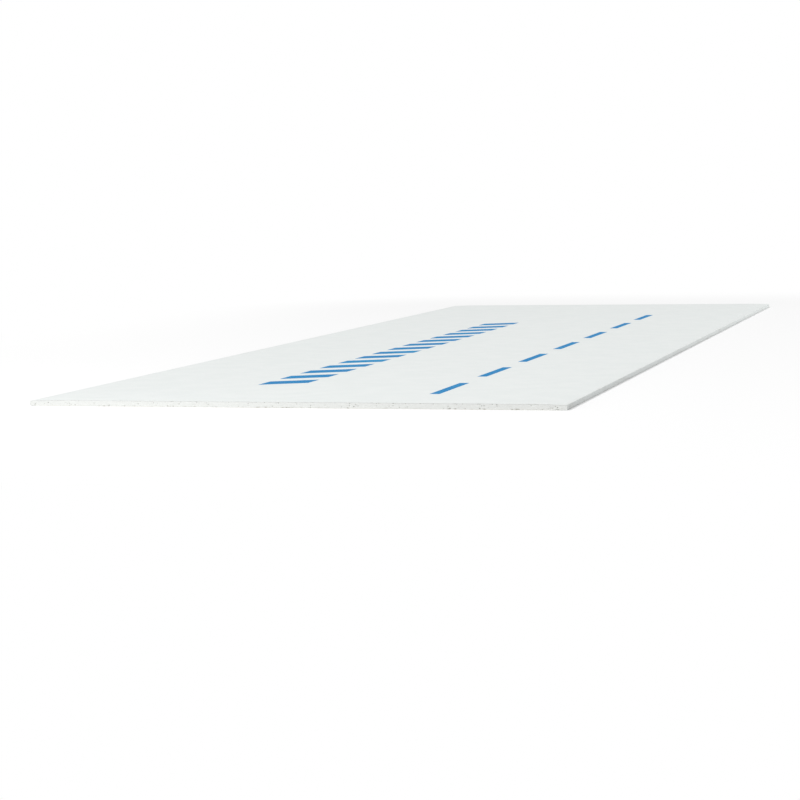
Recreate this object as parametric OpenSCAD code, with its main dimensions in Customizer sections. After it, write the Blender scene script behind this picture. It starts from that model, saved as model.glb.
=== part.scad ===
// Drywall sheet: paper-faced gypsum board with tapered long edges and square-sawn ends.
// It lies on its back, face up. Millimetres, origin at the centre of the back,
// X across the width, Y along the length, Z up out of the face.

/* [Sheet] */
// Width between the two paper-wrapped long edges
sheet_w = 1219.2; // [600:0.1:1372]
// Length between the two sawn ends
sheet_l = 3657.6; // [1200:0.1:4880]
// Thickness in the field of the sheet
sheet_t = 12.7; // [9.5:0.1:15.9]

/* [Tapered long edges] */
// Width of the tapered band along each long edge of the face
taper_w = 57.2; // [40:0.1:70]
// How far the face has dropped where the taper ends at the fold
taper_d = 1.5; // [0.6:0.1:2.2]
// Outside radius where the face paper folds down over the long edge
face_fold_r = 1.6; // [0.8:0.1:2.5]
// Outside radius where the paper folds under onto the back
back_fold_r = 1; // [0.5:0.1:2]

/* [Hidden] */

// Sides of a full circle in the folds
$fn = 96;

half_w = sheet_w / 2;
edge_t = sheet_t - taper_d;

// Straight flanks of the right half of the section, from the back up to the face.
// Each fold is the corner between two points, which its circle rounds out.
right_flank = [
    [half_w - back_fold_r, 0],
    [half_w, back_fold_r],
    [half_w, edge_t - face_fold_r],
    [half_w - face_fold_r, edge_t],
    [half_w - taper_w, sheet_t]
];

// The same points on the left half, from the face down to the back
left_flank = [for (i = [len(right_flank) - 1 : -1 : 0]) [-right_flank[i].x, right_flank[i].y]];

// The two round folds of one long edge; side is 1 on the right and -1 on the left
module edge_folds(side) {
    translate([side * (half_w - face_fold_r), edge_t - face_fold_r]) circle(r = face_fold_r);
    translate([side * (half_w - back_fold_r), back_fold_r]) circle(r = back_fold_r);
}

// Cross-section of the sheet, the same from one sawn end to the other
module sheet_section() {
    polygon(concat(right_flank, left_flank));
    for (side = [-1, 1]) edge_folds(side);
}

module drywall_sheet() {
    color([0.91, 0.93, 0.925])
        rotate([90, 0, 0])
            linear_extrude(height = sheet_l, center = true)
                sheet_section();
}

drywall_sheet();
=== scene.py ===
"""Dresses one drywall sheet: wrapped face paper, back paper, gypsum core, cut fibres and printed marks.

Sizes are in metres, in the frame of the part: the origin is the centre of the back, X runs across the
width, Y along the length and Z up out of the face.
"""

import logging
import math
from dataclasses import dataclass
from enum import Enum
from typing import Optional, Union

import bpy
from mathutils import Matrix, Vector


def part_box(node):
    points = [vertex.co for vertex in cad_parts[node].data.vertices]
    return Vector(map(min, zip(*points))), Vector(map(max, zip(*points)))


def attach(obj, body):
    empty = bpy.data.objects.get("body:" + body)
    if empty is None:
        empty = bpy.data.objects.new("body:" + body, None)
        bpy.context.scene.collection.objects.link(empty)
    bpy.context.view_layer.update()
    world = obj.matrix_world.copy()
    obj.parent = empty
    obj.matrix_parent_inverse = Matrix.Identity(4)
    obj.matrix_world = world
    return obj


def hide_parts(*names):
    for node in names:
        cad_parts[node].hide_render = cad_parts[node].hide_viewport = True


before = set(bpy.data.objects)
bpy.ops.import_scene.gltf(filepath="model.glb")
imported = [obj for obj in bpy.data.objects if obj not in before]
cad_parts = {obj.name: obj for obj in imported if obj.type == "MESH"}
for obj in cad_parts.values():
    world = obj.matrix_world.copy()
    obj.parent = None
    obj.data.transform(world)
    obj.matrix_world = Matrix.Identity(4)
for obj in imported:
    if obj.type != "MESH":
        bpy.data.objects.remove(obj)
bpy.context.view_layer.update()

BODY = "root"
NODE = "drywall_sheet"

log = logging.getLogger(NODE)

Node = bpy.types.Node
Socket = bpy.types.NodeSocket
Material = bpy.types.Material
Mesh = bpy.types.Mesh
Piece = bpy.types.Object
Source = Union[Socket, Material, float, int, bool, tuple]
Colour = tuple[float, float, float]
Point = tuple[float, float]

WHITE: Colour = (1.0, 1.0, 1.0)


class Slot(Enum):
    """Names of the record's material slots, which the log gives for each piece."""

    FACE = "face_paper"
    BACK = "back_paper"
    CORE = "gypsum_core"


class SheetEnd(Enum):
    """The two sawn ends, by the sign of Y."""

    FRONT = -1
    REAR = 1


# Node building


class NodeGraph:
    """Adds nodes to one tree and joins their sockets."""

    NOISE_MIDDLE = (0.5, 0.5, 0.5)

    def __init__(self, tree: bpy.types.NodeTree) -> None:
        """Keeps the tree that the nodes go into."""
        self.tree = tree

    def feed(self, target: Socket, source: Source) -> None:
        """Links a socket into an input, or sets the input's own value.

        Args:
            target: the input socket.
            source: an output socket, or a plain value.
        """
        if isinstance(source, Socket):
            self.tree.links.new(source, target)
        else:
            target.default_value = source

    def add(self, kind: str, feeds: Optional[dict] = None, **settings: object) -> Node:
        """Adds one node.

        Args:
            kind: the node's type name.
            feeds: what goes into its inputs, by socket name or number.
            settings: the node's own properties.

        Returns:
            The new node.
        """
        node = self.tree.nodes.new(kind)
        for name, value in settings.items():
            setattr(node, name, value)
        for key, source in (feeds or {}).items():
            self.feed(node.inputs[key], source)
        return node

    def math(self, operation: str, *terms: Source) -> Socket:
        """Works out one sum, named by its operation, of one to three terms."""
        return self.add("ShaderNodeMath", dict(enumerate(terms)), operation=operation).outputs[0]

    def product(self, first: Source, *others: Source) -> Socket:
        """Multiplies two or more values.

        Args:
            first: the first value.
            others: the values that it is multiplied by.

        Returns:
            The socket with the product.
        """
        for term in others:
            first = self.math("MULTIPLY", first, term)
        return first

    def ease(self, value: Source, start: Source, end: Source) -> Socket:
        """Rises smoothly from 0 at start to 1 at end, whichever of the two is larger."""
        feeds = {0: value, 1: start, 2: end}
        return self.add("ShaderNodeMapRange", feeds, interpolation_type="SMOOTHSTEP").outputs[0]

    def ramp(self, value: Source, start: Source, end: Source, low: Source, high: Source) -> Socket:
        """Maps a value from the range start to end onto low to high, held at both ends."""
        feeds = {0: value, 1: start, 2: end, 3: low, 4: high}
        return self.add("ShaderNodeMapRange", feeds).outputs[0]

    def tint(self, share: Source, under: Source, over: Source) -> Socket:
        """Lays one colour over another, which it covers by a share from 0 to 1."""
        # Inputs 6 and 7 and output 2 are the node's colours
        feeds = {0: share, 6: opaque(under), 7: opaque(over)}
        return self.add("ShaderNodeMix", feeds, data_type="RGBA").outputs[2]

    def parts(self, vector: Socket) -> tuple[Socket, Socket, Socket]:
        """Splits a vector into its X, Y and Z sockets."""
        return tuple(self.add("ShaderNodeSeparateXYZ", {0: vector}).outputs)

    def vector(self, x: Source, y: Source, z: Source) -> Socket:
        """Joins three values into a vector socket."""
        return self.add("ShaderNodeCombineXYZ", {0: x, 1: y, 2: z}).outputs[0]

    def noise(self, place: Socket, size: Source, layers: float = 2.0, roughness: float = 0.5) -> Node:
        """Makes soft noise around 0.5.

        Args:
            place: where the noise is read.
            size: size of its cells.
            layers: number of its finer layers.
            roughness: how strong the finer layers are.

        Returns:
            The node, with the noise as its Fac and three of them as its Color.
        """
        scale = self.math("DIVIDE", 1.0, size)
        feeds = {"Vector": place, "Scale": scale, "Detail": layers, "Roughness": roughness}
        return self.add("ShaderNodeTexNoise", feeds)

    def clouds(self, place: Socket, size: Source, layers: float, roughness: float = 0.5) -> Socket:
        """Gives the noise itself, around 0.5."""
        return self.noise(place, size, layers, roughness).outputs[0]

    def scaled(self, vector: Socket, factor: Source) -> Socket:
        """Multiplies a vector by a number."""
        return self.add("ShaderNodeVectorMath", {0: vector, "Scale": factor}, operation="SCALE").outputs[0]

    def warped(self, place: Socket, size: Source) -> Socket:
        """Shifts places about at random, so that what is drawn there loses its regular shape.

        Args:
            place: the places.
            size: size of the shift's cells, and the width that it covers.

        Returns:
            The socket with the shifted places.
        """
        drift = self.noise(place, size).outputs["Color"]
        centred = self.add("ShaderNodeVectorMath", {0: drift, 1: self.NOISE_MIDDLE}, operation="SUBTRACT")
        shift = self.scaled(centred.outputs[0], size)
        return self.add("ShaderNodeVectorMath", {0: place, 1: shift}, operation="ADD").outputs[0]

    def spots(self, place: Socket, spacing: Source, share: Source, small: float, large: float) -> Socket:
        """Scatters round spots, each in a cell of its own.

        Args:
            place: where the spots are read.
            spacing: distance between the cells.
            share: share of the cells that have a spot.
            small: radius of the smallest spot, in cells.
            large: radius of the largest spot, in cells.

        Returns:
            The socket with the mask, 1 in the middle of a spot.
        """
        scale = self.math("DIVIDE", 1.0, spacing)
        cells = self.add("ShaderNodeTexVoronoi", {"Vector": place, "Scale": scale}).outputs
        draw, size, _ = self.parts(cells["Color"])
        chosen = self.math("LESS_THAN", draw, share)
        bowl = self.ease(cells["Distance"], self.ramp(size, 0.0, 1.0, small, large), 0.0)
        return self.product(bowl, chosen)


def opaque(colour: Source) -> Source:
    """Gives a plain colour its alpha of 1, and leaves a socket as it is."""
    return (*colour, 1.0) if isinstance(colour, tuple) else colour


class Surface(NodeGraph):
    """The nodes of one material."""

    def __init__(self, name: str) -> None:
        """Makes the material, with the coordinates that its detail reads.

        Args:
            name: the material's name.
        """
        self.material = bpy.data.materials.new(name)
        self.material.use_nodes = True
        super().__init__(self.material.node_tree)
        self.place = self.add("ShaderNodeTexCoord").outputs["Object"]

    def dress(
        self, colour: Socket, roughness: Socket, height: Socket, relief: float, gloss: float
    ) -> Material:
        """Feeds the material's shader.

        Args:
            colour: the surface's colour.
            roughness: its roughness.
            height: its fine relief, from 0 to 1.
            relief: how high that relief is.
            gloss: how much the surface mirrors.

        Returns:
            The finished material.
        """
        bump = self.add("ShaderNodeBump", {"Height": height, "Distance": relief}).outputs["Normal"]
        feeds = {"Base Color": colour, "Roughness": roughness, "Normal": bump, "Specular IOR Level": gloss}
        for name, source in feeds.items():
            self.feed(self.tree.nodes["Principled BSDF"].inputs[name], source)
        return self.material


class NodeGroup:
    """A node group with named inputs and outputs."""

    KIND = "ShaderNodeTree"

    def __init__(self, name: str) -> None:
        """Makes the empty group.

        Args:
            name: the group's name.
        """
        self.tree = bpy.data.node_groups.new(name, self.KIND)
        self.graph = NodeGraph(self.tree)
        self.inlet = self.tree.nodes.new("NodeGroupInput")
        self.outlet = self.tree.nodes.new("NodeGroupOutput")
        self.identifiers: dict[str, str] = {}

    def take(self, name: str, kind: str = "NodeSocketFloat") -> Socket:
        """Makes a named input.

        Args:
            name: the input's name.
            kind: its socket type.

        Returns:
            The socket inside the group that carries it.
        """
        item = self.tree.interface.new_socket(name, in_out="INPUT", socket_type=kind)
        self.identifiers[name] = item.identifier
        return self.inlet.outputs[name]

    def give(self, name: str, source: Socket, kind: str = "NodeSocketFloat") -> None:
        """Makes a named output of a socket type, which puts out a socket of the group."""
        self.tree.interface.new_socket(name, in_out="OUTPUT", socket_type=kind)
        self.graph.feed(self.outlet.inputs[name], source)

    def place(self, surface: Surface, sizes: dict[str, float]) -> Node:
        """Puts the group into a material.

        Args:
            surface: the material's nodes.
            sizes: the values of its named inputs.

        Returns:
            The group's node there.
        """
        node = surface.add("ShaderNodeGroup", node_tree=self.tree)
        for name, source in {"Place": surface.place, **sizes}.items():
            surface.feed(node.inputs[name], source)
        return node


class GeometryTree(NodeGroup):
    """A Geometry Nodes tree that makes one piece, which then becomes a plain mesh."""

    KIND = "GeometryNodeTree"

    def __init__(self, name: str) -> None:
        """Makes the tree with its first input, the geometry that it starts from."""
        super().__init__(name)
        self.start = self.take("Geometry", "NodeSocketGeometry")

    def count(self, name: str) -> Socket:
        """Makes a named whole-number input."""
        return self.take(name, "NodeSocketInt")

    def end(self, geometry: Socket) -> None:
        """Realizes the instances, sets the material and puts the geometry out.

        Args:
            geometry: the socket with the finished shape.
        """
        realized = self.graph.add("GeometryNodeRealizeInstances", {0: geometry}).outputs[0]
        feeds = {"Geometry": realized, "Material": self.take("Material", "NodeSocketMaterial")}
        dressed = self.graph.add("GeometryNodeSetMaterial", feeds).outputs[0]
        self.give("Geometry", dressed, "NodeSocketGeometry")

    def run(self, name: str, start: Mesh, values: dict[str, Source]) -> Piece:
        """Runs the tree on a mesh and keeps the result as a plain mesh.

        Args:
            name: the piece's name.
            start: the mesh that the tree starts from.
            values: its inputs by name, the material among them.

        Returns:
            The finished piece, at the origin.
        """
        piece = bpy.data.objects.new(name, start)
        bpy.context.scene.collection.objects.link(piece)
        modifier = piece.modifiers.new(name, "NODES")
        modifier.node_group = self.tree
        for label, value in values.items():
            modifier[self.identifiers[label]] = value
        depsgraph = bpy.context.evaluated_depsgraph_get()
        mesh = bpy.data.meshes.new_from_object(
            piece.evaluated_get(depsgraph), preserve_all_data_layers=True, depsgraph=depsgraph
        )
        piece.modifiers.remove(modifier)
        piece.data = mesh
        mesh.name = name
        bpy.data.meshes.remove(start)
        return piece


def wire(name: str, loops: list[list[tuple]], closed: bool) -> Mesh:
    """Makes a mesh of edges only, one line for each list of points.

    Args:
        name: the mesh's name.
        loops: the lines, as lists of points.
        closed: whether each line returns to its start.

    Returns:
        The mesh.
    """
    points: list[tuple] = []
    edges: list[tuple[int, int]] = []
    for loop in loops:
        first = len(points)
        points += loop
        edges += [(first + i, first + i + 1) for i in range(len(loop) - 1)]
        if closed:
            edges.append((first + len(loop) - 1, first))
    mesh = bpy.data.meshes.new(name)
    mesh.from_pydata(points, edges, [])
    return mesh


def round_off(piece: Piece, crease_deg: float) -> None:
    """Shades a piece smooth, with a crease wherever its faces meet more sharply than an angle.

    Args:
        piece: the piece.
        crease_deg: the angle in degrees.
    """
    mesh = piece.data
    mesh.polygons.foreach_set("use_smooth", [True] * len(mesh.polygons))
    mesh.set_sharp_from_angle(angle=math.radians(crease_deg))


def seat(piece: Piece, slot: Slot) -> None:
    """Rides a piece on the sheet's body in place of the CAD solid, and reports it.

    Args:
        piece: the finished piece.
        slot: the record's material slot, which only the log names.
    """
    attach(piece, BODY)
    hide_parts(NODE)
    piece.data.calc_loop_triangles()
    log.info("%s: %d triangles, slot %s", piece.name, len(piece.data.loop_triangles), slot.value)


# The sheet's form


@dataclass(frozen=True)
class SheetForm:
    """Sizes that all the pieces of the sheet share.

    Attributes:
        high: highest corner of the CAD solid.
        taper_width: width of the tapered band along each long edge of the face.
        taper_drop: how far the face drops across that band.
        face_fold: outside radius where the paper folds down over the long edge.
        back_fold: outside radius where the paper folds under onto the back.
        paper: thickness of each paper.
        lap_width: reach of the face paper under the back, from the long edge.
        back_margin: strip of that lap which the back paper leaves bare.
        fringe: room at each sawn end for the loose fibres of the cut papers.
    """

    high: Vector
    taper_width: float = 0.0572
    taper_drop: float = 0.0015
    face_fold: float = 0.0016
    back_fold: float = 0.001
    paper: float = 0.00035
    lap_width: float = 0.028
    back_margin: float = 0.012
    fringe: float = 0.0006

    @property
    def half_width(self) -> float:
        """Half the sheet's width."""
        return self.high.x

    @property
    def half_length(self) -> float:
        """Half the sheet's length."""
        return self.high.y

    @property
    def thickness(self) -> float:
        """Thickness in the field of the sheet."""
        return self.high.z

    @property
    def cut_length(self) -> float:
        """Length of the papers between their two cut edges."""
        return 2 * (self.half_length - self.fringe)

    def flank(self, inset: float, steps: int) -> list[Point]:
        """Follows the face paper from the taper's start to the end of the lap, on the right half.

        Args:
            inset: how far inside the outer surface the line runs.
            steps: straight steps in each fold.

        Returns:
            Points of the section, as distances across and up.
        """
        edge = self.thickness - self.taper_drop
        folds = (
            (self.face_fold, edge - self.face_fold, math.pi / 2, 0.0),
            (self.back_fold, self.paper + self.back_fold, 0.0, -math.pi / 2),
        )
        points = [(self.half_width - self.taper_width, self.thickness - inset)]
        for radius, height, first, last in folds:
            for step in range(steps + 1):
                turn = first + (last - first) * step / steps
                across = self.half_width - radius + (radius - inset) * math.cos(turn)
                points.append((across, height + (radius - inset) * math.sin(turn)))
        points.append((self.half_width - self.lap_width, self.paper + inset))
        return points

    def wrap_line(self, inset: float, steps: int) -> list[Point]:
        """Follows the face paper from the left lap to the right, with the inset and steps of flank."""
        right = self.flank(inset, steps)
        return [(-across, up) for across, up in reversed(right)] + right

    def back_line(self, height: float) -> list[Point]:
        """Follows the back paper at a height, from its left edge to its right."""
        reach = self.half_width - self.back_margin
        return [(-reach, height), (reach, height)]


# Effects that several materials share


class PaperFormation(NodeGroup):
    """How paper is formed: soft clouds, fibres that lie along the sheet, and stray flecks."""

    LAYERS = 3.0
    FIBRE_ROUGHNESS = 0.6

    def __init__(self) -> None:
        """Builds the group."""
        super().__init__("paper_formation")
        graph = self.graph
        place = self.take("Place", "NodeSocketVector")
        cloud = self.take("Cloud Size")
        long, wide = self.take("Fibre Length"), self.take("Fibre Width")
        spacing, fleck = self.take("Fleck Spacing"), self.take("Fleck Size")
        x, y, z = graph.parts(place)
        fibre_place = graph.vector(
            graph.math("DIVIDE", x, wide), graph.math("DIVIDE", y, long), graph.math("DIVIDE", z, wide)
        )
        scale = graph.math("DIVIDE", 1.0, spacing)
        cells = graph.add("ShaderNodeTexVoronoi", {"Vector": place, "Scale": scale})
        reach = graph.math("DIVIDE", fleck, spacing)
        self.give("Clouds", graph.clouds(place, cloud, self.LAYERS))
        self.give("Fibres", graph.clouds(fibre_place, 1.0, self.LAYERS, self.FIBRE_ROUGHNESS))
        self.give("Flecks", graph.ease(cells.outputs["Distance"], reach, 0.0))


class SawDust(NodeGroup):
    """Gypsum dust that the saw leaves near the two ends."""

    LAYERS = 5.0
    ROUGHNESS = 0.65
    PATCHES = (0.4, 0.75)

    def __init__(self) -> None:
        """Builds the group."""
        super().__init__("saw_dust")
        graph = self.graph
        place = self.take("Place", "NodeSocketVector")
        half, reach = self.take("Half Length"), self.take("Reach")
        patch = self.take("Patch Size")
        along = graph.math("ABSOLUTE", graph.parts(place)[1])
        near = graph.ease(along, graph.math("SUBTRACT", half, reach), half)
        patches = graph.clouds(place, patch, self.LAYERS, self.ROUGHNESS)
        self.give("Dust", graph.product(near, graph.ease(patches, *self.PATCHES)))


class EdgeRub(NodeGroup):
    """Rubbed paper along the long edges."""

    LAYERS = 5.0
    ROUGHNESS = 0.6
    PATCHES = (0.48, 0.72)

    def __init__(self) -> None:
        """Builds the group."""
        super().__init__("edge_rub")
        graph = self.graph
        place = self.take("Place", "NodeSocketVector")
        half, reach = self.take("Half Width"), self.take("Reach")
        patch, stretch = self.take("Patch Size"), self.take("Stretch")
        x, y, z = graph.parts(place)
        near = graph.ease(graph.math("ABSOLUTE", x), graph.math("SUBTRACT", half, reach), half)
        drawn = graph.vector(x, graph.math("DIVIDE", y, stretch), z)
        patches = graph.clouds(drawn, patch, self.LAYERS, self.ROUGHNESS)
        self.give("Rub", graph.product(near, graph.ease(patches, *self.PATCHES)))


@dataclass(frozen=True)
class Effects:
    """The shared effects, each built once."""

    formation: PaperFormation
    dust: SawDust
    rub: EdgeRub


# Finishes


@dataclass(frozen=True)
class StrokeRow:
    """A row of equal strokes printed along the sheet.

    Attributes:
        across: place of the row's middle across the sheet.
        start: where the row starts along the sheet.
        number: number of strokes.
        pitch: distance from stroke to stroke.
        share: share of that distance that a stroke fills.
        height: size of a stroke across the sheet.
        slant: how far a stroke leans along the sheet for each unit across.
    """

    across: float
    start: float
    number: int
    pitch: float
    share: float
    height: float
    slant: float = 0.0

    def mask(self, graph: NodeGraph, x: Socket, y: Socket, blur: float) -> Socket:
        """Marks the strokes.

        Args:
            graph: the material's nodes.
            x: place across the sheet.
            y: place along the sheet.
            blur: width of a stroke's soft edge.

        Returns:
            The mask, 1 inside a stroke.
        """
        across = graph.math("SUBTRACT", x, self.across)
        lean = graph.product(across, self.slant)
        along = graph.math("SUBTRACT", graph.math("SUBTRACT", y, self.start), lean)
        inside = graph.ease(graph.math("ABSOLUTE", across), self.height / 2 + blur, self.height / 2)
        middle = self.pitch * self.share / 2
        step = graph.math("SUBTRACT", graph.math("FLOORED_MODULO", along, self.pitch), middle)
        stroke = graph.ease(graph.math("ABSOLUTE", step), middle, middle - blur)
        started = graph.math("GREATER_THAN", along, 0.0)
        ended = graph.math("LESS_THAN", along, self.pitch * self.number)
        return graph.product(inside, stroke, started, ended)


@dataclass(frozen=True)
class PrintedMarks:
    """Plain blue guide marks on the face: a row of slanted bars and a row of dashes along the sheet.

    Attributes:
        bars: the row of bars.
        dashes: the row of dashes.
        ink: colour of solid ink.
        thin_ink: colour where the ink is thin.
        edge_blur: width of a mark's soft edge.
        edge_wander: how far ink creeps along the fibres at an edge.
        grain: size of the ink's mottle.
        roll_patch: size along the sheet of the patches that the print roller leaves thinner.
        roll_stretch: how much longer such a patch is across the sheet.
        gap_share: share of the mottle's cells with a speck that took no ink.
        gap_show: how bare such a speck is.
        thinnest: cover of the ink on the fibres that took the least.
    """

    CREEP_RANGE = (0.3, 0.7)
    STARVED_RANGE = (0.25, 0.6)
    MOTTLE_LAYERS = 4.0
    MOTTLE_ROUGHNESS = 0.65
    MOTTLE_RANGE = (0.35, 0.75)
    ROLL_LAYERS = 2.0
    ROLL_RANGE = (0.4, 0.7)
    GAP_RADII = (0.1, 0.5)

    bars: StrokeRow = StrokeRow(-0.158, -1.42, number=15, pitch=0.149, share=0.58, height=0.105, slant=0.5)
    dashes: StrokeRow = StrokeRow(0.272, -1.635, number=7, pitch=0.423, share=0.62, height=0.022)
    ink: Colour = (0.003, 0.17, 0.46)
    thin_ink: Colour = (0.012, 0.285, 0.57)
    edge_blur: float = 0.0012
    edge_wander: float = 0.0014
    grain: float = 0.004
    roll_patch: float = 0.07
    roll_stretch: float = 4.0
    gap_share: float = 0.12
    gap_show: float = 0.5
    thinnest: float = 0.92

    def lay(self, graph: Surface, fibres: Socket, paper: Socket) -> tuple[Socket, Socket]:
        """Prints the marks on a paper's colour.

        Args:
            graph: the material's nodes.
            fibres: the paper's fibres, which the ink follows.
            paper: the colour of the bare paper.

        Returns:
            The printed colour, and the mask of the ink.
        """
        x, y, _ = graph.parts(graph.place)
        creep = graph.ramp(fibres, *self.CREEP_RANGE, -self.edge_wander, self.edge_wander)
        crept = graph.math("ADD", x, creep), graph.math("ADD", y, creep)
        bars, dashes = (row.mask(graph, *crept, self.edge_blur) for row in (self.bars, self.dashes))
        mask = graph.math("MAXIMUM", bars, dashes)
        mottle = graph.clouds(graph.place, self.grain, self.MOTTLE_LAYERS, self.MOTTLE_ROUGHNESS)
        rolled = graph.vector(graph.math("DIVIDE", x, self.roll_stretch), y, 0.0)
        patches = graph.clouds(rolled, self.roll_patch, self.ROLL_LAYERS)
        thin = graph.math(
            "MAXIMUM", graph.ease(mottle, *self.MOTTLE_RANGE), graph.ease(patches, *self.ROLL_RANGE)
        )
        starved = graph.ramp(fibres, *self.STARVED_RANGE, 1.0, 0.0)
        ink = graph.tint(graph.math("MAXIMUM", thin, starved), self.ink, self.thin_ink)
        specks = graph.spots(graph.place, self.grain / 2, self.gap_share, *self.GAP_RADII)
        cover = graph.product(mask, graph.ramp(starved, 0.0, 1.0, 1.0, self.thinnest))
        cover = graph.math("SUBTRACT", cover, graph.product(cover, specks, self.gap_show))
        return graph.tint(cover, paper, ink), mask


@dataclass(frozen=True)
class PaperFinish:
    """A paper's colours and the sizes of its detail.

    Attributes:
        name: the material's name.
        light: colour of the paper where it is densest.
        dark: colour in the thin clouds.
        fibre: colour of the fibres that show.
        fibre_show: how strongly they show.
        fleck: colour of stray flecks.
        fleck_show: how strongly they show.
        fleck_spacing: distance between flecks.
        fleck_size: radius of a fleck.
        rub: colour of rubbed paper along the long edges.
        rub_show: how strongly it shows.
        ply: colour of the inner plies, which show where the paper is cut.
        dust: colour of gypsum dust.
        dust_show: how strongly it shows.
        roughness: roughness of the bare paper.
        ink_roughness: roughness under ink.
        gloss: how much the surface mirrors.
        relief: height of the fibres.
        cloud_size: size of the clouds.
        fibre_length: length of a fibre.
        fibre_width: width of a fibre.
    """

    CLOUD_RANGE = (0.3, 0.7)
    FIBRE_RANGE = (0.45, 0.75)
    SHEEN_RANGE = (0.3, 0.7)
    SHEEN_SPREAD = 0.05
    CUT_SHARE = 0.25
    RUB_SIZES = {"Reach": 0.012, "Patch Size": 0.022, "Stretch": 6.0}
    DUST_SIZES = {"Reach": 0.05, "Patch Size": 0.012}

    name: str
    light: Colour
    dark: Colour
    fibre: Colour
    fibre_show: float
    fleck: Colour
    fleck_show: float
    fleck_spacing: float
    fleck_size: float
    rub: Colour
    rub_show: float
    ply: Colour
    dust: Colour = (0.88, 0.88, 0.86)
    dust_show: float = 0.5
    roughness: float = 0.88
    ink_roughness: float = 0.76
    gloss: float = 0.06
    relief: float = 0.00005
    cloud_size: float = 0.06
    fibre_length: float = 0.0042
    fibre_width: float = 0.0006

    def material(self, form: SheetForm, effects: Effects, marks: Optional[PrintedMarks]) -> Material:
        """Builds the paper's material.

        Args:
            form: the sheet's sizes.
            effects: the shared effects.
            marks: what is printed on the paper, if anything.

        Returns:
            The material.
        """
        graph = Surface(self.name)
        clouds, fibres, flecks = effects.formation.place(graph, {
            "Cloud Size": self.cloud_size, "Fibre Length": self.fibre_length, "Fibre Width": self.fibre_width,
            "Fleck Spacing": self.fleck_spacing, "Fleck Size": self.fleck_size,
        }).outputs
        rubbed = effects.rub.place(graph, {"Half Width": form.half_width, **self.RUB_SIZES}).outputs[0]
        dusted = effects.dust.place(graph, {"Half Length": form.half_length, **self.DUST_SIZES}).outputs[0]
        colour = graph.tint(graph.ease(clouds, *self.CLOUD_RANGE), self.dark, self.light)
        colour = graph.tint(graph.ramp(fibres, *self.FIBRE_RANGE, 0.0, self.fibre_show), colour, self.fibre)
        colour = graph.tint(graph.product(flecks, self.fleck_show), colour, self.fleck)
        colour = graph.tint(graph.product(rubbed, self.rub_show), colour, self.rub)
        sheen = self.roughness - self.SHEEN_SPREAD, self.roughness + self.SHEEN_SPREAD
        roughness = graph.ramp(fibres, *self.SHEEN_RANGE, *sheen)
        if marks is not None:
            colour, inked = marks.lay(graph, fibres, colour)
            roughness = graph.ramp(inked, 0.0, 1.0, roughness, self.ink_roughness)
        colour = graph.tint(graph.product(dusted, self.dust_show), colour, self.dust)
        along = graph.math("ABSOLUTE", graph.parts(graph.place)[1])
        cut = graph.math("GREATER_THAN", along, form.cut_length / 2 - form.paper * self.CUT_SHARE)
        colour = graph.tint(cut, colour, self.ply)
        return graph.dress(colour, roughness, fibres, self.relief, self.gloss)


@dataclass(frozen=True)
class GypsumFinish:
    """The sawn gypsum's colours and the sizes of its detail.

    Attributes:
        light: colour of clean gypsum.
        dark: colour of its greyer grains.
        painted_pit_shade: painted shade at the bottom of pits and chips, the darker the deeper the point
            lies.
        painted_pore_shade: painted shade in the fine pores, which the bump also sinks.
        pore_spacing: distance between the places of pores.
        pore_share: share of those places that have a pore.
        pore_small: radius of the smallest pore, as a share of the spacing.
        pore_large: radius of the largest pore, as a share of the spacing.
        grain: size of the grains.
        relief: height of the grains.
        roughness: roughness of the surface.
        gloss: how much the surface mirrors.
    """

    GRAIN_LAYERS = 4.0
    GRAIN_ROUGHNESS = 0.7
    GRAIN_RANGE = (0.3, 0.62)
    PIT_SHADE_RANGE = (0.3, 0.9)
    SHEEN_RANGE = (0.3, 0.7)
    SHEEN_SPREAD = 0.08
    DUST_SIZES = {"Reach": 0.01, "Patch Size": 0.006}
    DUST_SHOW = 0.4

    light: Colour = (0.875, 0.885, 0.865)
    dark: Colour = (0.79, 0.80, 0.775)
    painted_pit_shade: Colour = (0.56, 0.565, 0.53)
    painted_pore_shade: Colour = (0.62, 0.62, 0.585)
    pore_spacing: float = 0.0013
    pore_share: float = 0.4
    pore_small: float = 0.15
    pore_large: float = 0.5
    grain: float = 0.0014
    relief: float = 0.0002
    roughness: float = 0.95
    gloss: float = 0.1

    def material(self, form: SheetForm, effects: Effects) -> Material:
        """Builds the gypsum's material.

        Args:
            form: the sheet's sizes.
            effects: the shared effects.

        Returns:
            The material.
        """
        graph = Surface("sawn_gypsum")
        dusted = effects.dust.place(graph, {"Half Length": form.half_length, **self.DUST_SIZES}).outputs[0]
        grains = graph.clouds(graph.place, self.grain, self.GRAIN_LAYERS, self.GRAIN_ROUGHNESS)
        pores = graph.spots(graph.place, self.pore_spacing, self.pore_share, self.pore_small, self.pore_large)
        depth = graph.add("ShaderNodeAttribute", attribute_name=GypsumCore.DEPTH).outputs["Fac"]
        colour = graph.tint(graph.ease(grains, *self.GRAIN_RANGE), self.dark, self.light)
        # Painted shade in the fine pores
        colour = graph.tint(pores, colour, self.painted_pore_shade)
        colour = graph.tint(graph.product(dusted, self.DUST_SHOW), colour, self.light)
        # Painted shade in the pits and chips of the sawn ends, darker where the end lies deeper
        colour = graph.tint(graph.ease(depth, *self.PIT_SHADE_RANGE), colour, self.painted_pit_shade)
        sheen = self.roughness - self.SHEEN_SPREAD, self.roughness
        roughness = graph.ramp(grains, *self.SHEEN_RANGE, *sheen)
        height = graph.math("SUBTRACT", grains, pores)
        return graph.dress(colour, roughness, height, self.relief, self.gloss)


# Pieces of the sheet


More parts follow.
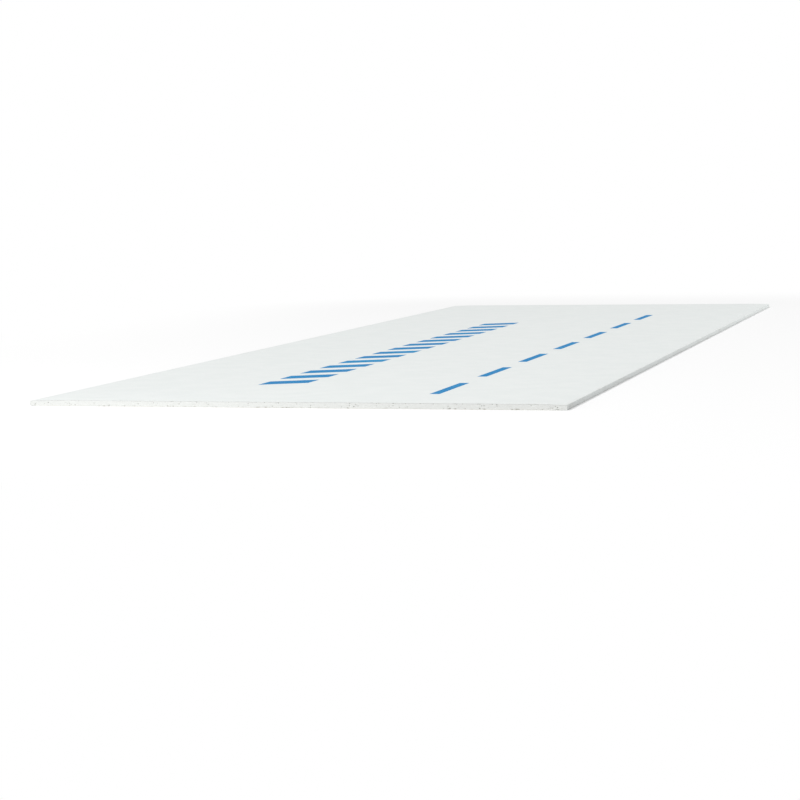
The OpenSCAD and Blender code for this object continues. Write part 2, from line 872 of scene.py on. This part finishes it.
class PaperSweep(GeometryTree):
    """Sweeps a paper's closed section along the length of the sheet."""

    def __init__(self) -> None:
        """Builds the tree."""
        super().__init__("paper_sweep")
        graph = self.graph
        length, rings = self.take("Length"), self.count("Rings")
        near, far = (graph.vector(0.0, graph.product(length, end.value / 2), 0.0) for end in SheetEnd)
        line = graph.add("GeometryNodeCurvePrimitiveLine", {"Start": near, "End": far}).outputs[0]
        steps = {"Curve": line, "Count": rings}
        stepped = graph.add("GeometryNodeResampleCurve", steps, mode="COUNT").outputs[0]
        upright = graph.add("GeometryNodeSetCurveNormal", {"Curve": stepped}, mode="Z_UP").outputs[0]
        section = graph.add("GeometryNodeMeshToCurve", {"Mesh": self.start}).outputs[0]
        feeds = {"Curve": upright, "Profile Curve": section, "Fill Caps": True}
        self.end(graph.add("GeometryNodeCurveToMesh", feeds).outputs[0])


@dataclass
class Papers:
    """The face paper, which wraps both long edges, and the back paper glued over its laps.

    Attributes:
        form: the sheet's sizes.
        sweep: the tree that sweeps a section.
        face_material: the face paper's material.
        back_material: the back paper's material.
        fold_steps: straight steps in each fold.
        rings: number of sections along the sheet.
        crease_deg: angle past which an edge stays sharp.
    """

    form: SheetForm
    sweep: PaperSweep
    face_material: Material
    back_material: Material
    fold_steps: int = 8
    rings: int = 31
    crease_deg: float = 30.0

    def face(self) -> Piece:
        """Builds the face paper.

        Returns:
            The piece.
        """
        outer = self.form.wrap_line(0.0, self.fold_steps)
        inner = self.form.wrap_line(self.form.paper, 1)
        return self.swept("face_paper_wrap", outer + inner[::-1], self.face_material)

    def back(self) -> Piece:
        """Builds the back paper."""
        section = self.form.back_line(self.form.paper) + self.form.back_line(0.0)[::-1]
        return self.swept("back_paper_sheet", section, self.back_material)

    def swept(self, name: str, section: list[Point], material: Material) -> Piece:
        """Sweeps one closed section into a piece.

        Args:
            name: the piece's name.
            section: its points across and up, clockwise as the camera sees the front end.
            material: the piece's material.

        Returns:
            The piece.
        """
        loop = [(across, -up, 0.0) for across, up in section]
        values = {"Length": self.form.cut_length, "Rings": self.rings, "Material": material}
        piece = self.sweep.run(name, wire(name, [loop], True), values)
        round_off(piece, self.crease_deg)
        return piece


class CoreTree(GeometryTree):
    """Shapes the gypsum core inside the papers and breaks up its sawn ends."""

    # The block that is shaped runs from -1 to 1 each way
    BLOCK = (2.0, 2.0, 2.0)
    END_SHARE = 0.9999
    LAYERS = 3.0
    ROUGHNESS = 0.6
    PIT_RADII = (0.2, 0.6)
    CHIP_RANGE = (0.55, 0.72)
    # How many times less far chips reach in from the face paper than from the back paper
    FACE_HOLD = 2.5

    def __init__(self) -> None:
        """Builds the tree."""
        super().__init__("gypsum_core")
        graph = self.graph
        half_width, half_length = self.take("Half Width"), self.take("Half Length")
        face_height, paper = self.take("Face Height"), self.take("Paper")
        face_fold, back_fold = self.take("Face Fold"), self.take("Back Fold")
        columns, rings, rows = self.count("Columns"), self.count("Rings"), self.count("Rows")
        sides = {"Size": self.BLOCK, "Vertices X": columns, "Vertices Y": rings, "Vertices Z": rows}
        block = graph.add("GeometryNodeMeshCube", sides).outputs["Mesh"]
        x, y, z = graph.parts(graph.add("GeometryNodeInputPosition").outputs[0])
        across = graph.product(x, graph.math("SUBTRACT", half_width, paper))
        along = graph.product(y, half_length)
        inward = graph.math("SUBTRACT", half_width, graph.math("ABSOLUTE", across))
        taper = graph.ramp(inward, self.take("Taper Width"), face_fold, 0.0, self.take("Taper Drop"))
        tapered = graph.math("SUBTRACT", face_height, taper)
        top = graph.math("SUBTRACT", tapered, self.bevel(inward, face_fold, paper))
        on_lap = graph.math("LESS_THAN", inward, self.take("Lap Width"))
        lap = graph.product(paper, graph.math("ADD", on_lap, 1.0))
        bottom = graph.math("ADD", lap, self.bevel(inward, back_fold, paper))
        place = graph.vector(across, along, graph.ramp(z, -1.0, 1.0, bottom, top))
        shaped = graph.add("GeometryNodeSetPosition", {"Geometry": block, "Position": place}).outputs[0]
        self.end(self.sawn(shaped))

    def bevel(self, inward: Socket, fold: Socket, paper: Socket) -> Socket:
        """Gives the height by which the core's corner is cut back under a fold of the paper."""
        return self.graph.ramp(inward, fold, paper, 0.0, self.graph.math("SUBTRACT", fold, paper))

    def sawn(self, shaped: Socket) -> Socket:
        """Sinks grain, pits and chips into both ends, and stores how deep each point lies.

        Args:
            shaped: the smooth core.

        Returns:
            The core with rough ends.
        """
        graph = self.graph
        x, y, z = graph.parts(graph.add("GeometryNodeInputPosition").outputs[0])
        end_sign = graph.math("SIGN", y)
        nearly = graph.product(self.inlet.outputs["Half Length"], self.END_SHARE)
        at_end = graph.math("GREATER_THAN", graph.math("ABSOLUTE", y), nearly)
        where = graph.vector(x, graph.math("ADD", end_sign, self.take("Seed")), z)
        depth = graph.math("ADD", self.grain(where), self.pits(where))
        depth = graph.math("ADD", depth, self.chips(where, z))
        sunk = graph.math("ADD", depth, self.take("Recess"))
        offset = graph.vector(0.0, graph.product(sunk, end_sign, -1.0), 0.0)
        # The gypsum's material turns this share into painted shade, darker where the end lies deeper
        share = graph.product(graph.math("DIVIDE", depth, self.inlet.outputs["Pit Depth"]), at_end)
        named = {"Geometry": shaped, "Name": GypsumCore.DEPTH, "Value": share}
        marked = graph.add("GeometryNodeStoreNamedAttribute", named, data_type="FLOAT", domain="POINT")
        moved = {"Geometry": marked.outputs[0], "Selection": at_end, "Offset": offset}
        return graph.add("GeometryNodeSetPosition", moved).outputs[0]

    def grain(self, where: Socket) -> Socket:
        """Gives the depth of the fine grain."""
        grains = self.graph.clouds(where, self.take("Grain Size"), self.LAYERS, self.ROUGHNESS)
        return self.graph.product(grains, self.take("Grain Depth"))

    def pits(self, where: Socket) -> Socket:
        """Gives the depth of the pits that air bubbles leave, rounded and a little ragged.

        Args:
            where: the coordinates on the end.

        Returns:
            The socket with the depth.
        """
        graph = self.graph
        spacing = self.take("Pit Spacing")
        ragged = graph.warped(where, graph.math("DIVIDE", spacing, 2.0))
        bowls = graph.spots(ragged, spacing, self.take("Pit Share"), *self.PIT_RADII)
        return graph.product(bowls, self.take("Pit Depth"))

    def chips(self, where: Socket, height: Socket) -> Socket:
        """Gives the depth of the crumbled places next to the two papers.

        Args:
            where: the coordinates on the end.
            height: the height above the back.

        Returns:
            The socket with the depth.
        """
        graph = self.graph
        reach = self.take("Chip Reach")
        under_face = graph.math("SUBTRACT", self.inlet.outputs["Face Height"], height)
        over_back = graph.math("SUBTRACT", height, self.inlet.outputs["Paper"])
        held = graph.product(under_face, self.FACE_HOLD)
        near = graph.ease(graph.math("MINIMUM", held, over_back), reach, 0.0)
        crumbs = graph.clouds(where, self.take("Chip Spacing"), self.LAYERS, self.ROUGHNESS)
        return graph.product(near, graph.ease(crumbs, *self.CHIP_RANGE), self.take("Chip Depth"))


@dataclass
class GypsumCore:
    """The gypsum between the papers, smooth along the sheet and rough on its sawn ends.

    Attributes:
        form: the sheet's sizes.
        tree: the tree that shapes the core.
        material: the gypsum's material.
        columns: number of points across the sheet.
        rows: number of points from back to face.
        rings: number of points along the sheet.
        recess: how far the saw leaves the gypsum behind the papers' edges.
        grain_size: size of the fine grain.
        grain_depth: its depth.
        pit_spacing: distance between the places of pits.
        pit_share: share of those places that have a pit.
        pit_depth: depth of a pit.
        chip_spacing: size of the crumbled places.
        chip_reach: how far they reach in from the back paper.
        chip_depth: their depth.
        seed: picks the pattern of both ends.
        crease_deg: angle past which an edge stays sharp.
    """

    DEPTH = "sawn_depth"

    form: SheetForm
    tree: CoreTree
    material: Material
    columns: int = 1601
    rows: int = 18
    rings: int = 4
    recess: float = 0.00004
    grain_size: float = 0.0022
    grain_depth: float = 0.0005
    pit_spacing: float = 0.0046
    pit_share: float = 0.26
    pit_depth: float = 0.0016
    chip_spacing: float = 0.011
    chip_reach: float = 0.0026
    chip_depth: float = 0.0018
    seed: float = 7.3
    crease_deg: float = 40.0

    def build(self) -> Piece:
        """Builds the core.

        Returns:
            The piece.
        """
        form = self.form
        values = {
            "Half Width": form.half_width, "Half Length": form.half_length - form.fringe,
            "Face Height": form.thickness - form.paper, "Paper": form.paper,
            "Columns": self.columns, "Rings": self.rings, "Rows": self.rows,
            "Taper Width": form.taper_width, "Taper Drop": form.taper_drop,
            "Face Fold": form.face_fold, "Back Fold": form.back_fold, "Lap Width": form.lap_width,
            "Seed": self.seed, "Recess": self.recess,
            "Grain Size": self.grain_size, "Grain Depth": self.grain_depth,
            "Pit Spacing": self.pit_spacing, "Pit Share": self.pit_share, "Pit Depth": self.pit_depth,
            "Chip Spacing": self.chip_spacing, "Chip Reach": self.chip_reach, "Chip Depth": self.chip_depth,
            "Material": self.material,
        }
        piece = self.tree.run("gypsum_core_block", bpy.data.meshes.new("gypsum_core_block"), values)
        round_off(piece, self.crease_deg)
        return piece


class FibreTree(GeometryTree):
    """Sets loose fibres along lines, each pointing out of its end of the sheet."""

    SIDES = 3
    LEAN_ACROSS = 0.9
    LEAN_UP = 0.25
    STRAY = 0.5
    THINNEST = 0.4
    SHORTEST = 0.3

    def __init__(self) -> None:
        """Builds the tree."""
        super().__init__("cut_fibres")
        graph = self.graph
        spacing, seed = self.take("Spacing"), self.count("Seed")
        radius, reach = self.take("Radius"), self.take("Reach")
        fibre = {"Vertices": self.SIDES, "Radius Top": 0.0, "Radius Bottom": radius, "Depth": reach}
        sliver = graph.add("GeometryNodeMeshCone", fibre, fill_type="NGON").outputs["Mesh"]
        lines = graph.add("GeometryNodeMeshToCurve", {"Mesh": self.start}).outputs[0]
        steps = {"Curve": lines, "Length": spacing}
        rooted = graph.add("GeometryNodeCurveToPoints", steps, mode="LENGTH").outputs
        widest = (self.LEAN_ACROSS, self.STRAY, self.LEAN_UP)
        lean_across, stray, lean_up = self.random(tuple(-value for value in widest), widest, seed)
        shift = graph.scaled(rooted["Tangent"], graph.product(stray, spacing))
        scattered = {"Geometry": rooted["Points"], "Offset": shift}
        points = graph.add("GeometryNodeSetPosition", scattered).outputs[0]
        x, y, _ = graph.parts(graph.add("GeometryNodeInputPosition").outputs[0])
        inward = graph.math("SUBTRACT", self.take("Half Width"), graph.math("ABSOLUTE", x))
        lean = graph.product(lean_across, graph.ease(inward, 0.0, reach))
        outward = graph.vector(lean, graph.math("SIGN", y), lean_up)
        turn = graph.add("FunctionNodeAlignRotationToVector", {"Vector": outward}, axis="Z").outputs[0]
        later = graph.math("ADD", seed, 1.0)
        thick, _, long = self.random((self.THINNEST, 0.0, self.SHORTEST), (1.0, 1.0, 1.0), later)
        size = graph.vector(thick, thick, long)
        feeds = {"Points": points, "Instance": sliver, "Rotation": turn, "Scale": size}
        self.end(graph.add("GeometryNodeInstanceOnPoints", feeds).outputs[0])

    def random(self, low: tuple, high: tuple, seed: Socket) -> tuple[Socket, Socket, Socket]:
        """Draws three values for each point, between their lowest and their highest."""
        feeds = {0: low, 1: high, "Seed": seed}
        return self.graph.parts(
            self.graph.add("FunctionNodeRandomValue", feeds, data_type="FLOAT_VECTOR").outputs[0]
        )


@dataclass
class CutFibres:
    """Loose fibres that stand out of the papers where they were sawn.

    Attributes:
        form: the sheet's sizes.
        tree: the tree that sets the fibres.
        face_material: the face paper's material.
        back_material: the back paper's material.
        spacing: distance between fibres.
        radius: radius of the thickest fibre at its root.
        fold_steps: straight steps in each fold.
        seed: picks how the fibres lie.
    """

    form: SheetForm
    tree: FibreTree
    face_material: Material
    back_material: Material
    spacing: float = 0.0008
    radius: float = 0.00004
    fold_steps: int = 4
    seed: int = 11

    def face(self) -> Piece:
        """Builds the fibres of the face paper."""
        line = self.form.wrap_line(self.form.paper / 2, self.fold_steps)
        return self.frayed("face_paper_fibres", line, self.face_material)

    def back(self) -> Piece:
        """Builds the fibres of the back paper."""
        line = self.form.back_line(self.form.paper / 2)
        return self.frayed("back_paper_fibres", line, self.back_material)

    def frayed(self, name: str, line: list[Point], material: Material) -> Piece:
        """Sets fibres along one paper's cut edge, at both ends of the sheet.

        Args:
            name: the piece's name.
            line: the paper's middle, as points across and up.
            material: the paper's material.

        Returns:
            The piece.
        """
        cut = self.form.cut_length / 2
        lines = [[(across, end.value * cut, up) for across, up in line] for end in SheetEnd]
        values = {
            "Spacing": self.spacing, "Seed": self.seed, "Radius": self.radius, "Reach": self.form.fringe,
            "Half Width": self.form.half_width, "Material": material,
        }
        return self.tree.run(name, wire(name, lines, False), values)


# Floor, light and camera


@dataclass(frozen=True)
class SoftLamp:
    """One square lamp with a soft edge to its shadows.

    Attributes:
        name: the lamp's name.
        place: where it hangs.
        target: the point that it faces.
        side: the side of its panel.
        power: its power in watts.
    """

    name: str
    place: Vector
    target: Vector
    side: float
    power: float

    def hang(self) -> None:
        """Hangs the lamp in the scene."""
        data = bpy.data.lights.new(self.name, "AREA")
        data.size = self.side
        data.energy = self.power
        lamp = bpy.data.objects.new(self.name, data)
        lamp.location = self.place
        lamp.rotation_euler = (self.target - self.place).to_track_quat("-Z", "Y").to_euler()
        bpy.context.scene.collection.objects.link(lamp)


@dataclass
class Studio:
    """A pale floor that runs into a white background, and soft light on the sheet.

    Attributes:
        form: the sheet's sizes.
        lamps: the lamps.
        floor_half: half the floor's side.
        floor_seen: colour of the floor to the camera.
        floor_bounce: colour of the floor as the sheet sees it.
        floor_glow: share of plain white in the floor next to the sheet.
        shade_near: distance from the sheet up to which the floor shows shade.
        shade_far: distance at which it has run into white.
        world_light: strength of the light from all round.
    """

    form: SheetForm
    lamps: tuple[SoftLamp, ...]
    floor_half: float = 60.0
    floor_seen: Colour = WHITE
    floor_bounce: Colour = (0.58, 0.59, 0.59)
    floor_glow: float = 0.1
    shade_near: float = 0.2
    shade_far: float = 1.2
    world_light: float = 0.6

    def floor(self) -> None:
        """Lays the floor under the sheet."""
        side = self.floor_half
        corners = [(-side, -side, 0.0), (side, -side, 0.0), (side, side, 0.0), (-side, side, 0.0)]
        mesh = bpy.data.meshes.new("floor")
        mesh.from_pydata(corners, [], [(0, 1, 2, 3)])
        mesh.materials.append(self.floor_material())
        floor = bpy.data.objects.new("floor", mesh)
        bpy.context.scene.collection.objects.link(floor)

    def floor_material(self) -> Material:
        """Builds the floor's material, which keeps shade near the sheet and is white further off.

        Returns:
            The material.
        """
        graph = Surface("pale_floor")
        nodes = graph.tree.nodes
        nodes.remove(nodes["Principled BSDF"])
        past = []
        for along, half in zip(graph.parts(graph.place), (self.form.half_width, self.form.half_length)):
            beyond = graph.math("SUBTRACT", graph.math("ABSOLUTE", along), half)
            past.append(graph.math("MAXIMUM", beyond, 0.0))
        off = graph.add("ShaderNodeVectorMath", {0: graph.vector(*past, 0.0)}, operation="LENGTH")
        far = graph.ease(off.outputs["Value"], self.shade_near, self.shade_far)
        glow = graph.ramp(far, 0.0, 1.0, self.floor_glow, 1.0)
        seen = self.seen_ray(graph)
        colour = graph.tint(seen, self.floor_bounce, self.floor_seen)
        matt = graph.add("ShaderNodeBsdfDiffuse", {"Color": colour})
        white = graph.add("ShaderNodeEmission", {"Color": opaque(WHITE), "Strength": 1.0})
        feeds = {0: graph.product(glow, seen), 1: matt.outputs[0], 2: white.outputs[0]}
        mixed = graph.add("ShaderNodeMixShader", feeds)
        graph.feed(nodes["Material Output"].inputs["Surface"], mixed.outputs[0])
        return graph.material

    def seen_ray(self, graph: NodeGraph) -> Socket:
        """Tells the rays that show the background from those that light the sheet.

        Args:
            graph: the nodes of the floor or the world.

        Returns:
            The socket, 1 for a ray of the camera, a reflection or a clear body.
        """
        path = graph.add("ShaderNodeLightPath").outputs
        mirrored = graph.math("MAXIMUM", path["Is Glossy Ray"], path["Is Transmission Ray"])
        return graph.math("MAXIMUM", path["Is Camera Ray"], mirrored)

    def world(self) -> None:
        """Makes the world white to the camera and a soft light to the sheet."""
        world = bpy.data.worlds.new("white_room")
        world.use_nodes = True
        graph = NodeGraph(world.node_tree)
        background = world.node_tree.nodes["Background"]
        background.inputs["Color"].default_value = opaque(WHITE)
        strength = graph.ramp(self.seen_ray(graph), 0.0, 1.0, self.world_light, 1.0)
        graph.feed(background.inputs["Strength"], strength)
        bpy.context.scene.world = world

    def build(self) -> None:
        """Sets up the floor, the world and the lamps."""
        self.floor()
        self.world()
        for lamp in self.lamps:
            lamp.hang()


@dataclass(frozen=True)
class PhotoCamera:
    """The camera that sees the sheet's face as the photograph does.

    Attributes:
        place: its place, from the middle of the sheet's face.
        yaw_deg: turn to the left of the sheet's length.
        pitch_deg: tilt above the level.
        roll_deg: tilt of the horizon.
        focal_px: focal length in pixels of the square frame.
        frame_px: the frame's side in pixels.
        sensor_mm: the sensor's width.
    """

    # A camera looks straight down until this turn levels it
    LEVEL_DEG = 90.0

    place: tuple[float, float, float] = (1.492, -5.979, 0.438)
    yaw_deg: float = 16.65
    pitch_deg: float = -5.69
    roll_deg: float = 1.26
    focal_px: float = 2063.8
    frame_px: float = 800.0
    sensor_mm: float = 36.0

    def build(self, form: SheetForm) -> None:
        """Makes the camera the scene's own.

        Args:
            form: the sheet's sizes.
        """
        data = bpy.data.cameras.new("camera")
        data.sensor_width = self.sensor_mm
        data.lens = self.focal_px / self.frame_px * self.sensor_mm
        camera = bpy.data.objects.new("camera", data)
        turn = Matrix.Identity(4)
        turns = ((self.yaw_deg, "Z"), (self.pitch_deg, "X"), (self.roll_deg, "Y"), (self.LEVEL_DEG, "X"))
        for degrees, axis in turns:
            turn = turn @ Matrix.Rotation(math.radians(degrees), 4, axis)
        spot = Vector(self.place) + Vector((0.0, 0.0, form.thickness))
        camera.matrix_world = Matrix.Translation(spot) @ turn
        bpy.context.scene.collection.objects.link(camera)
        bpy.context.scene.camera = camera


FACE_FINISH = PaperFinish(
    name="face_paper",
    light=(0.845, 0.87, 0.86),
    dark=(0.82, 0.85, 0.84),
    fibre=(0.76, 0.79, 0.785),
    fibre_show=0.5,
    fleck=(0.55, 0.58, 0.58),
    fleck_show=0.4,
    fleck_spacing=0.024,
    fleck_size=0.0006,
    rub=(0.70, 0.705, 0.68),
    rub_show=0.7,
    ply=(0.77, 0.785, 0.77),
)

BACK_FINISH = PaperFinish(
    name="back_paper",
    light=(0.61, 0.57, 0.51),
    dark=(0.55, 0.51, 0.45),
    fibre=(0.42, 0.385, 0.33),
    fibre_show=0.45,
    fleck=(0.22, 0.205, 0.19),
    fleck_show=0.8,
    fleck_spacing=0.012,
    fleck_size=0.0008,
    rub=(0.68, 0.66, 0.61),
    rub_show=0.4,
    ply=(0.52, 0.485, 0.42),
)

# One lamp for the whole sheet, one for the right edge's far half and one for the front end's left half
KEY_LAMP = SoftLamp("key", Vector((-10.0, -14.3, 17.4)), Vector((0.0, 0.0, 0.0)), side=6.5, power=3000.0)
FAR_FILL = SoftLamp("far_fill", Vector((4.5, 2.8, 0.5)), Vector((0.6, 0.6, 0.0)), side=0.9, power=60.0)
END_FILL = SoftLamp("end_fill", Vector((-0.5, -2.75, 0.3)), Vector((-0.5, 0.0, 0.3)), side=0.4, power=2.0)


def main() -> None:
    """Builds the camera, the pieces of the sheet and the studio, in that order."""
    logging.basicConfig(level=logging.INFO, format="%(name)s: %(message)s")
    bpy.context.scene.view_settings.view_transform = "Standard"
    _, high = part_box(NODE)
    form = SheetForm(high)
    PhotoCamera().build(form)
    effects = Effects(PaperFormation(), SawDust(), EdgeRub())
    face_material = FACE_FINISH.material(form, effects, PrintedMarks())
    back_material = BACK_FINISH.material(form, effects, None)
    core_material = GypsumFinish().material(form, effects)
    papers = Papers(form, PaperSweep(), face_material, back_material)
    seat(papers.face(), Slot.FACE)
    seat(papers.back(), Slot.BACK)
    seat(GypsumCore(form, CoreTree(), core_material).build(), Slot.CORE)
    fibres = CutFibres(form, FibreTree(), face_material, back_material)
    seat(fibres.face(), Slot.FACE)
    seat(fibres.back(), Slot.BACK)
    Studio(form, (KEY_LAMP, FAR_FILL, END_FILL)).build()


if __name__ == "__main__":
    main()
